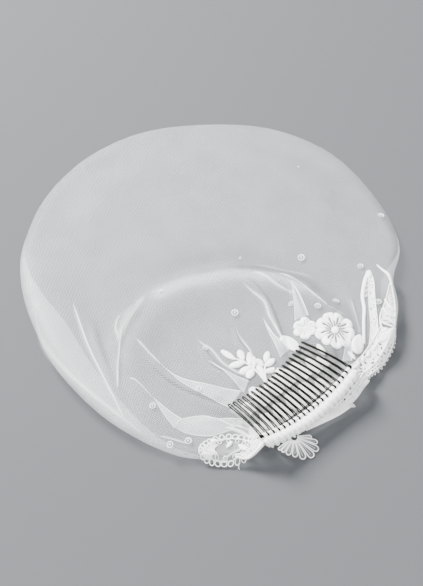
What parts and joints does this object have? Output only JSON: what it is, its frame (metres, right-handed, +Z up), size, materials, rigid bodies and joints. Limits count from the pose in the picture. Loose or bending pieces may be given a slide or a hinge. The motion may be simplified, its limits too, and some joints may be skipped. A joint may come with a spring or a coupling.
{
  "type": "short bridal veil on a wire comb",
  "caption": "Short round tulle veil gathered onto a curved wire comb, with lace flowers and leaves, lying flat on a surface with its inner side up.",
  "frame": {"origin": "middle of the veil's box, on the surface that it lies on", "axes": "+Z up, +Y from the comb's side of the veil towards its far hem, +X to the right of someone who looks along +Y"},
  "size_m": [0.2556, 0.2848, 0.0196],
  "materials": {
    "tulle_net": "fine see-through nylon net",
    "lace_thread": "satin-stitched white lace",
    "ribbon": "soft rolled net and satin ribbon",
    "comb_wire": "dark drawn wire"
  },
  "bodies": {
    "root": {"tulle": "tulle_net", "binding": "ribbon", "ribbon_end": "ribbon", "comb_spine": "comb_wire", "comb_tooth_01": "comb_wire", "comb_tooth_02": "comb_wire", "comb_tooth_03": "comb_wire", "comb_tooth_04": "comb_wire", "comb_tooth_05": "comb_wire", "comb_tooth_06": "comb_wire", "comb_tooth_07": "comb_wire", "comb_tooth_08": "comb_wire", "comb_tooth_09": "comb_wire", "comb_tooth_10": "comb_wire", "comb_tooth_11": "comb_wire", "comb_tooth_12": "comb_wire", "comb_tooth_13": "comb_wire", "comb_tooth_14": "comb_wire", "comb_tooth_15": "comb_wire", "comb_tooth_16": "comb_wire", "comb_tooth_17": "comb_wire", "comb_tooth_18": "comb_wire", "comb_tooth_19": "comb_wire", "comb_tooth_20": "comb_wire", "lace_bud_left": "lace_thread", "lace_bud_right": "lace_thread", "lace_edging": "lace_thread", "lace_fan": "lace_thread", "lace_flower_large": "lace_thread", "lace_flower_small": "lace_thread", "lace_leaf_inner": "lace_thread", "lace_leaf_outer": "lace_thread", "lace_medallion": "lace_thread", "lace_panel": "lace_thread", "lace_side": "lace_thread", "lace_sprig_left": "lace_thread", "lace_sprig_right": "lace_thread"}
  },
  "joints": []
}
